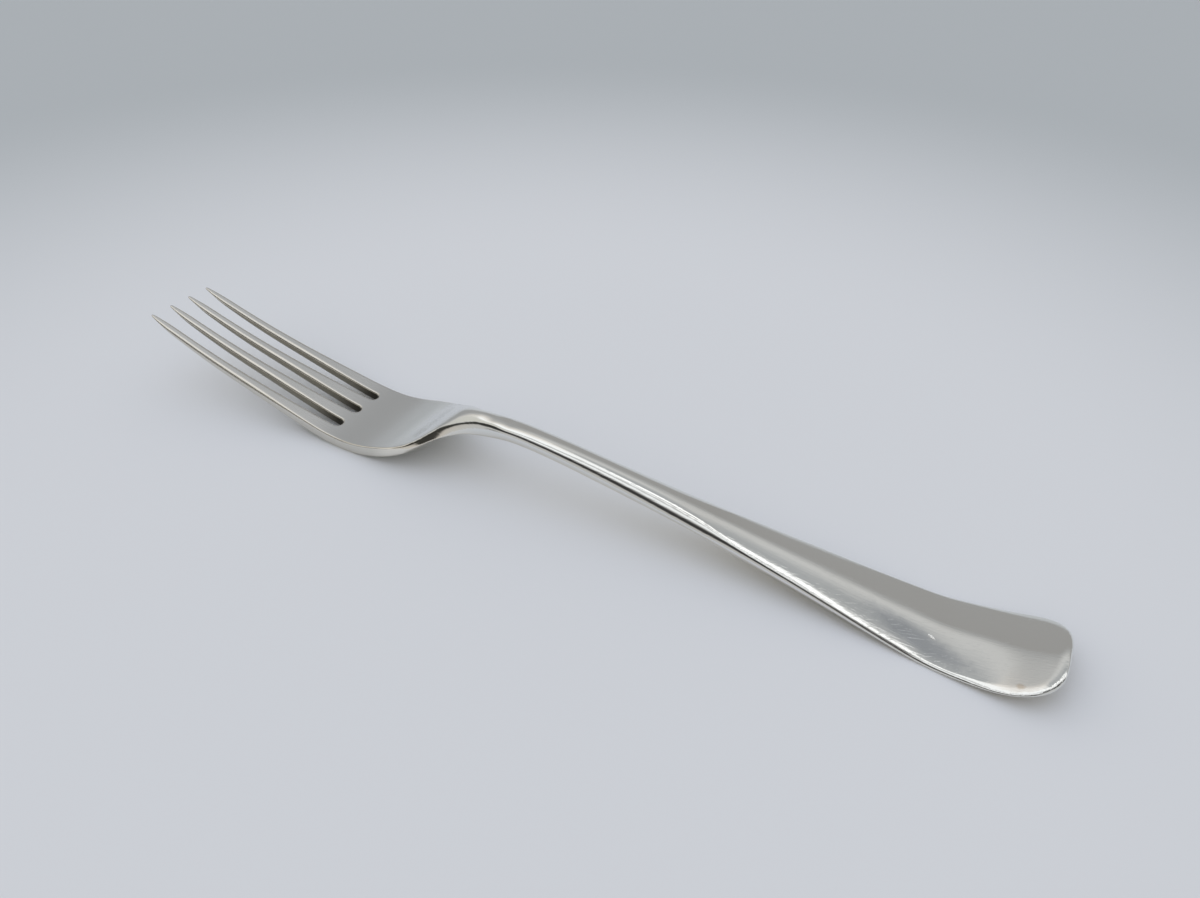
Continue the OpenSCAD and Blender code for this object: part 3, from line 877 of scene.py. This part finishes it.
def worn_silver_and_painted_light():
    """Scratched silver, bright on the stem and handle, softer on the tines and stained in the slots, with
    painted shade in the slots and painted reflections on its edges, underside and handle.
    """
    material = bpy.data.materials.new("worn_silver_and_painted_light")
    material.use_nodes = True
    tree = material.node_tree
    shader = tree.nodes["Principled BSDF"]
    spot = tree.nodes.new("ShaderNodeTexCoord").outputs["Object"]
    along = Field(tree, place_node(tree, "ShaderNodeSeparateXYZ", Vector=spot).outputs["X"])
    group = scratch_group()

    def attribute(name):
        return Field(tree, place_node(tree, "ShaderNodeAttribute", {"attribute_name": name}).outputs["Fac"])

    def noise(scale, detail):
        node = place_node(tree, "ShaderNodeTexNoise", Vector=spot, Scale=scale, Detail=detail)
        return Field(tree, node.outputs["Fac"])

    def past(start, stop):
        """Step from one place along the fork to another, in millimetres."""
        return along.step(start * MM, stop * MM)

    def scratches(kind):
        node = place_node(tree, "ShaderNodeGroup", {"node_tree": group}, Place=spot,
                          Turn=math.radians(kind.turn), Fineness=kind.fineness, Rarity=kind.rarity)
        return Field(tree, node.outputs["Lines"]) * kind.strength

    def mark_on(mark):
        near = place_node(tree, "ShaderNodeMapping", {"vector_type": "TEXTURE"}, Vector=spot,
                          Location=mark.place * MM, Rotation=(0, 0, math.radians(mark.turn)),
                          Scale=(mark.reach * MM, mark.width * MM, 1))
        uneven = (noise(mark.fineness, MARK_DETAIL) - NOISE_MEAN) * mark.ragged
        return 1 - (distance(tree, near.outputs["Vector"]) + uneven).step(*MARK_FADE)

    # Where each part of the finish lies
    head = 1 - past(x_neck - HEAD_FADE, x_neck + HEAD_FADE)
    broad = past(*(x_root + share * bowl_length for share in BROAD_SHARES))
    handled = past(x_stem + HANDLED_SHARE * stem_length, x_handle)
    on_tines = 1 - past(x_root - GRIME_SHADE_BEFORE_ROOT, x_root)
    rim = attribute("rim")
    # Painted warm reflection on the rounded edges, up to the neck
    edge = rim.step(*EDGE_FADE) * (1 - past(x_neck - EDGE_BEFORE_NECK, x_neck + EDGE_PAST_NECK))
    worn_end = rim.step(*WORN_RIM_FADE) * past(x_end - WORN_END_START, x_end - WORN_END_FULL)
    marks = scratches(HANDLE_SCRATCHES) * handled + scratches(CROSS_SCRATCHES)
    film = noise(*FILM).step(*FILM_FADE)
    # Tarnish in the slots, with painted shade darkest low on the walls and at the roots
    stain_and_shade = attribute("recess") + (noise(*GRIME_SHADE_EDGE) - NOISE_MEAN) * GRIME_SHADE_RAGGED
    grime_and_shade = stain_and_shade.step(*GRIME_SHADE_FADE) * (1 - on_tines * TINE_GRIME_SHADE_LOSS)
    blot = mark_on(TARNISH_SPOT) * SPOT_COVER
    # Scuffed patch, rougher and more scratched, with a painted dark reflection in its tone
    scuff_and_dark_reflection = mark_on(SCUFF_AND_DARK_REFLECTION)
    # Nick in the scuffed patch: a real dent that is rougher, painted lighter as a glint
    nick = mark_on(NICK)

    layers = [
        (FILM_TONE, film * FILM_COVER),
        (HEAD_TONE, head * HEAD_COVER),
        (toward(TINE_EDGE_REFLECTION_TONE, BOWL_EDGE_REFLECTION_TONE, broad), edge * EDGE_REFLECTION_COVER),
        # Painted reflection of the table on the underside, off the head
        (UNDERSIDE_REFLECTION_TONE, attribute("under") * (1 - head) * UNDERSIDE_REFLECTION_COVER),
        (DARK_REFLECTION_TONE, scuff_and_dark_reflection * DARK_REFLECTION_COVER),
        (SPOT_TONE, blot),
        (NICK_GLINT_TONE, nick),
        (toward(GRIME_SHADE_TONE, TINE_GRIME_SHADE_TONE, on_tines), grime_and_shade)]
    colour = SILVER_TONE
    for tone, share in layers:
        colour = toward(colour, tone, share)
    plug(tree, colour, shader.inputs["Base Color"])
    plug(tree, 1 - grime_and_shade * GRIME_SHADE_COVER, shader.inputs["Metallic"])

    soft = head * (1 - rim.step(*BARE_EDGE_FADE) * broad) * MATT_TINES
    rough = (POLISH + soft + noise(*SMUDGES) * SMUDGE_ROUGH + marks * SCRATCH_ROUGH + scuff_and_dark_reflection * SCUFF_ROUGH
             + grime_and_shade * GRIME_ROUGH + blot * SPOT_ROUGH + nick * NICK_ROUGH)
    plug(tree, rough, shader.inputs["Roughness"])

    height = (scratches(HAIRS) + marks * (scuff_and_dark_reflection + 1) + noise(*WAVES) * WAVE_DEPTH
              + noise(*DENTS) * worn_end * DENT_DEPTH - nick * NICK_DEPTH)
    relief = place_node(tree, "ShaderNodeBump", Strength=RELIEF_STRENGTH, Distance=RELIEF_DEPTH,
                        Height=height)
    plug(tree, relief.outputs["Normal"], shader.inputs["Normal"])
    return material


# Stage: table, camera and light

# The table: its radius, and where its painted shade starts and ends, turning it greyer away from the fork,
# in metres, then its corners and its finish
TABLE_RADIUS = 2.5
TABLE_FADE = (0.1, 0.35)
TABLE_CORNERS = 90
TABLE_ROUGH = 0.9
TABLE_GLOSS = 0.1
TABLE_TONE = (0.69, 0.69, 0.69, 1)
FAR_TABLE_SHADE_TONE = (0.455, 0.472, 0.472, 1)


def pale_table():
    """Table with painted shade that turns it softly greyer away from the fork. Reflections see it even."""
    material = bpy.data.materials.new("pale_table")
    material.use_nodes = True
    tree = material.node_tree
    shader = tree.nodes["Principled BSDF"]
    shader.inputs["Roughness"].default_value = TABLE_ROUGH
    shader.inputs["Specular IOR Level"].default_value = TABLE_GLOSS
    spot = tree.nodes.new("ShaderNodeTexCoord")
    ray = tree.nodes.new("ShaderNodeLightPath")
    far = distance(tree, spot.outputs["Object"]).step(*TABLE_FADE)
    tone = toward(TABLE_TONE, FAR_TABLE_SHADE_TONE, far * Field(tree, ray.outputs["Is Camera Ray"]))
    plug(tree, tone, shader.inputs["Base Color"])
    return material


def make_table():
    """Round pale table under the fork."""
    turns = np.radians(np.arange(TABLE_CORNERS) * 360 / TABLE_CORNERS)
    ring = np.stack([np.cos(turns), np.sin(turns), 0 * turns], 1) * TABLE_RADIUS
    mesh = bpy.data.meshes.new("table")
    mesh.from_pydata(ring.tolist(), [], [tuple(range(len(ring)))])
    mesh.materials.append(pale_table())
    add_object("table", mesh)


# The camera, fitted to the photograph: focal length in pixels of a 1200 pixel wide image, angles in degrees,
# and the sensor's width in millimetres
IMAGE_WIDTH = 1200
FOCAL_PIXELS = 920.3
CAMERA_PITCH = 36.65
CAMERA_YAW = -28.60
CAMERA_ROLL = 0.76
CAMERA_TARGET = Vector((7.5, 11.6, 5.0)) * MM
CAMERA_DISTANCE = 195.3 * MM
SENSOR_WIDTH = 36
CLIP_START = 5 * MM


def make_camera():
    """Camera at the photograph's viewpoint."""
    pitch, yaw, roll = (math.radians(a) for a in (CAMERA_PITCH, CAMERA_YAW, CAMERA_ROLL))
    ahead = Vector((math.cos(pitch) * math.sin(yaw), math.cos(pitch) * math.cos(yaw), -math.sin(pitch)))
    level = Vector((math.cos(yaw), -math.sin(yaw), 0))
    upright = level.cross(ahead)
    right = math.cos(roll) * level + math.sin(roll) * upright
    up = math.cos(roll) * upright - math.sin(roll) * level
    lens = bpy.data.cameras.new("camera")
    lens.sensor_width = SENSOR_WIDTH
    lens.lens = FOCAL_PIXELS / IMAGE_WIDTH * SENSOR_WIDTH
    lens.clip_start = CLIP_START
    camera = add_object("camera", lens)
    turned = Matrix((right, up, -ahead)).transposed().to_4x4()
    camera.matrix_world = Matrix.Translation(CAMERA_TARGET - CAMERA_DISTANCE * ahead) @ turned
    bpy.context.scene.camera = camera


# Brightness and warmth of the light tent by the angle in degrees, from its back wall, over the top, to its
# open front. The left side has tones of its own.
HALF_TURN = 180
TENT_TONES = [
    (0, 0.60, -0.03), (10, 0.58, -0.03), (13, 0.53, -0.03), (15.5, 0.45, -0.01), (18.5, 0.375, 0.015),
    (40, 0.368, 0.02), (45, 0.44, 0), (48, 0.50, 0.01), (51, 0.58, 0.01), (54, 0.64, 0.01), (58, 0.65, 0.01),
    (61, 0.58, 0), (64, 0.51, -0.01), (68, 0.46, -0.02), (72, 0.47, -0.02), (74.5, 0.56, 0), (76.5, 1.5, 0),
    (80, 1.5, 0), (81.5, 0.8, 0), (83, 0.62, 0), (85, 0.7, 0), (86.5, 1.4, 0), (90, 1.4, 0), (91.5, 0.6, 0),
    (95, 0.40, 0), (99, 0.3, 0), (102, 0.05, 0.02), (110, 0.04, 0.02), (114, 0.3, 0), (120, 0.54, 0),
    (140, 0.6, 0), (180, 0.62, -0.02)]
LEFT_TONES = [
    (0, 0.60, -0.03), (10, 0.58, -0.03), (13, 0.53, -0.03), (15.5, 0.45, -0.01), (18.5, 0.40, 0),
    (40, 0.395, 0.005), (45, 0.43, 0), (50, 0.50, 0.01), (55, 0.58, 0.03), (60, 0.70, 0.05),
    (65, 0.88, 0.04), (70, 1.0, 0.03), (74, 1.15, 0), (86, 1.15, -0.015), (88.5, 0.75, 0), (90.5, 0.62, 0),
    (93.5, 0.64, 0), (96, 1.05, -0.015), (103, 1.05, -0.015), (106, 0.65, 0.01), (110, 0.3, 0.02),
    (114, 0.08, 0.03), (118, 0.045, 0.03), (131, 0.045, 0.03), (136, 0.2, 0.03), (142, 0.48, 0.03),
    (150, 0.54, 0.03), (180, 0.58, 0)]

# The tone that the ramps hold as full, and where the left side's tones start and are full, from 0 straight
# ahead to 1 straight aside
TENT_PEAK = 2.0
LEFT_SIDE = (0.02, 0.12)

# Panels in the tent. Each lies over a range to the left or right, from 0 straight ahead to 1 straight aside,
# and most over a range of angles: where it starts and is full, and then where it fades and stops.
GREY_SIDE = (0.33, 0.39)
GREY_ANGLES = (62, 66.5, 69.5, 74)
GREY_TONE = (0.20, 0.225, 0.25, 1)
GREY_COVER = 0.15
DULL_SIDE = (0.46, 0.6)
DULL_ANGLES = (56, 66, 100, 108)
DULL_TONE = (0.70, 0.685, 0.64, 1)
WALL_SIDE = (0.84, 0.92)
WALL_RISE = (0.2, 0.32)
WALL_FOOT_TONE = (0.05, 0.05, 0.05, 1)
WALL_TONE = (1.1, 1.1, 1.1, 1)
GAP_SIDE = (0.66, 0.72, 0.84, 0.88)
GAP_ANGLES = (99, 104, 130, 137)
GAP_TONE = (0.04, 0.04, 0.037, 1)

# Soft light on the table and dull surfaces: its tones low and high, and its growth to the back and right
ROOM_LOW = (0.80, 0.74, 0.56, 1)
ROOM_HIGH = (0.897, 0.969, 1.134, 1)
ROOM_BACK = 0.12
ROOM_RIGHT = -0.2

# Tone that the camera sees behind the table
BACKDROP_TONE = (0.42, 0.445, 0.465, 1)


def make_tent():
    """Light tent: reflections see its back wall, lamps and dark open front, and the table its soft light."""
    world = bpy.data.worlds.new("light_tent")
    bpy.context.scene.world = world
    world.use_nodes = True
    tree = world.node_tree
    tree.nodes.clear()
    seen = tree.nodes.new("ShaderNodeTexCoord")
    turned = place_node(tree, "ShaderNodeVectorRotate", {"rotation_type": "Z_AXIS"},
                        Vector=seen.outputs["Generated"], Angle=math.radians(CAMERA_YAW))
    parts = place_node(tree, "ShaderNodeSeparateXYZ", Vector=turned.outputs["Vector"])
    right, back, rise = (Field(tree, parts.outputs[axis]) for axis in "XYZ")
    left = 0 - right
    angle = rise.do("ARCTAN2", back) * math.degrees(1)

    def tones(rows):
        ramp = place_node(tree, "ShaderNodeValToRGB", Fac=angle / HALF_TURN)
        stops = ramp.color_ramp.elements
        for place, tone, warmth in rows:
            if 0 < place < HALF_TURN:
                stop = stops.new(place / HALF_TURN)
            else:
                stop = stops[0 if place == 0 else -1]
            stop.color = (*(tone / TENT_PEAK * (1 + k * warmth) for k in (1, 0, -1)), 1)
        lit = place_node(tree, "ShaderNodeVectorMath", {"operation": "SCALE"}, Scale=TENT_PEAK)
        plug(tree, ramp.outputs["Color"], lit.inputs[0])
        return lit.outputs[0]

    glow = toward(tones(TENT_TONES), tones(LEFT_TONES), left.step(*LEFT_SIDE))
    wall = toward(WALL_FOOT_TONE, WALL_TONE, rise.step(*WALL_RISE))
    panels = [
        (GREY_TONE, right.step(*GREY_SIDE) * angle.window(*GREY_ANGLES) * GREY_COVER),
        (DULL_TONE, left.step(*DULL_SIDE) * angle.window(*DULL_ANGLES)),
        (wall, left.step(*WALL_SIDE)),
        (GAP_TONE, left.window(*GAP_SIDE) * angle.window(*GAP_ANGLES))]
    for tone, share in panels:
        glow = toward(glow, tone, share)

    ray = tree.nodes.new("ShaderNodeLightPath")

    def seen_by(kind, other, shown):
        """Shows one background to a kind of ray, and the other to the rest."""
        node = place_node(tree, "ShaderNodeMixShader", Fac=ray.outputs[kind])
        plug(tree, other.outputs[0], node.inputs[1])
        plug(tree, shown.outputs[0], node.inputs[2])
        return node

    tent = place_node(tree, "ShaderNodeBackground", Color=glow)
    room = place_node(tree, "ShaderNodeBackground", Color=toward(ROOM_LOW, ROOM_HIGH, rise.step(0.0, 1.0)),
                      Strength=back * ROOM_BACK + right * ROOM_RIGHT + 1)
    backdrop = place_node(tree, "ShaderNodeBackground", Color=BACKDROP_TONE)
    mixed = seen_by("Is Camera Ray", seen_by("Is Glossy Ray", room, tent), backdrop)
    place_node(tree, "ShaderNodeOutputWorld", Surface=mixed.outputs[0])


# Making

bpy.context.scene.view_settings.view_transform = "Standard"
make_camera()
make_tent()
make_table()

silver = worn_silver_and_painted_light()
loft = loft_tree()
pieces = {name: lofted_piece(name, tine_stations(row), loft, silver) for name, row in zip(TINES, TINE_ROWS)}
pieces["bowl"] = plate_piece("bowl", bowl_plan(), silver)
pieces["neck"] = lofted_piece("neck", shank_stations(x_neck, x_stem), loft, silver)
pieces["stem"] = lofted_piece("stem", shank_stations(x_stem, x_handle), loft, silver)
pieces["handle_end"] = plate_piece("handle_end", handle_plan(), silver)
match_seams(pieces.values())
for name in (*TINES, "bowl"):
    stain_and_shade_slots(pieces[name])
for node, piece in pieces.items():
    note_underside_reflection(piece)
    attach(piece, "root")
    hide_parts(node)
